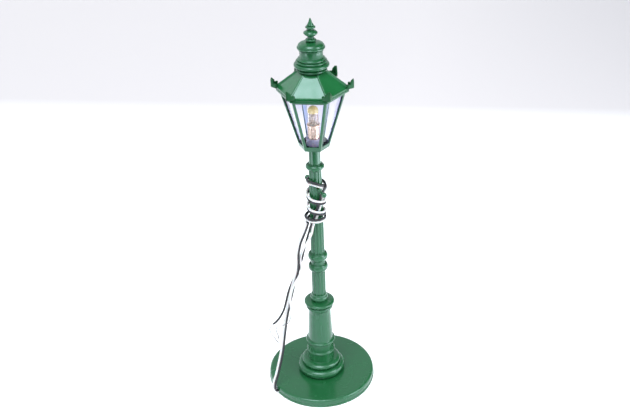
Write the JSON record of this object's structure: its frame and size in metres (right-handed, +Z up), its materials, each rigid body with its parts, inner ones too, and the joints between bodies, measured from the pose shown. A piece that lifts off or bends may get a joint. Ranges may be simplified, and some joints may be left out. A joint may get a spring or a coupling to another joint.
{
  "type": "model street lamp",
  "caption": "Model street lamp: a fluted post on a round base, a six-sided lantern with a lift-off roof, a screw-base bulb and a two-core lead wound on the post.",
  "frame": {"origin": "centre of the base's underside", "axes": "+Z up along the post; a flat side of the lantern faces -Y; +X through a corner of the lantern"},
  "size_m": [0.0624, 0.0624, 0.22],
  "materials": {
    "green_plastic": "semi-gloss moulded, faint flow marks",
    "zinc_steel": "zinc plated",
    "black_plastic": "satin",
    "clear_plastic": "clear, slightly blue-violet",
    "grey_plastic": "translucent grey-violet",
    "brass": "drawn, lightly tarnished",
    "fibre": "vulcanised fibre",
    "black_insulation": "satin PVC",
    "white_insulation": "satin PVC",
    "tinned_copper": "tinned strands",
    "bulb_glass": "clear blown glass",
    "amber_lacquer": "transparent lacquer",
    "nickelled_brass": "nickelled",
    "black_glass": "vitreous",
    "filament_wire": "drawn wire",
    "solder": "solder"
  },
  "bodies": {
    "post": {"base_disc": "green_plastic", "base_screws": "zinc_steel", "lead_clip": "black_plastic", "pedestal": "green_plastic", "pedestal_collar": "green_plastic", "lower_shaft": "green_plastic", "double_ring": "green_plastic", "upper_shaft": "green_plastic", "neck_ring": "green_plastic", "neck_tube": "green_plastic", "ladder_arms": "green_plastic", "lantern_frame": "green_plastic", "glazing": "clear_plastic", "socket_block": "grey_plastic", "lamp_socket": "brass", "socket_washer": "fibre", "socket_contact": "brass", "socket_tag": "brass", "inner_lead_black": "black_insulation", "inner_lead_white": "white_insulation", "lead_black": "black_insulation", "lead_white": "white_insulation", "lead_winding": "black_insulation", "bare_ends": "tinned_copper"},
    "roof": {"roof": "green_plastic", "roof_crests": "green_plastic", "vent_rings": "green_plastic", "vent_drum": "green_plastic", "vent_cap": "green_plastic", "finial": "green_plastic"},
    "bulb_tip": {"bulb_contact": "solder"},
    "bulb": {"bulb_glass": "bulb_glass", "bulb_crown": "amber_lacquer", "bulb_shell": "nickelled_brass", "bulb_insulator": "black_glass", "bulb_bead": "bulb_glass", "bulb_filament": "filament_wire"}
  },
  "joints": [
    {"name": "roof_lift", "type": "slide", "parent": "post", "child": "roof", "axis": [0, 0, 1], "range_m": [0, 0.03]},
    {"name": "bulb_rise", "type": "slide", "parent": "post", "child": "bulb_tip", "axis": [0, 0, 1], "range_m": [0, 0.0035]},
    {"name": "bulb_turn", "type": "hinge", "parent": "bulb_tip", "child": "bulb", "pos_m": [0, 0, 0.16], "axis": [0, 0, 1], "range_deg": [0, 1261]}
  ],
  "couplings": [
    {"joint": "bulb_turn", "follows": "bulb_rise", "rad_per_m": 6283.2}
  ]
}
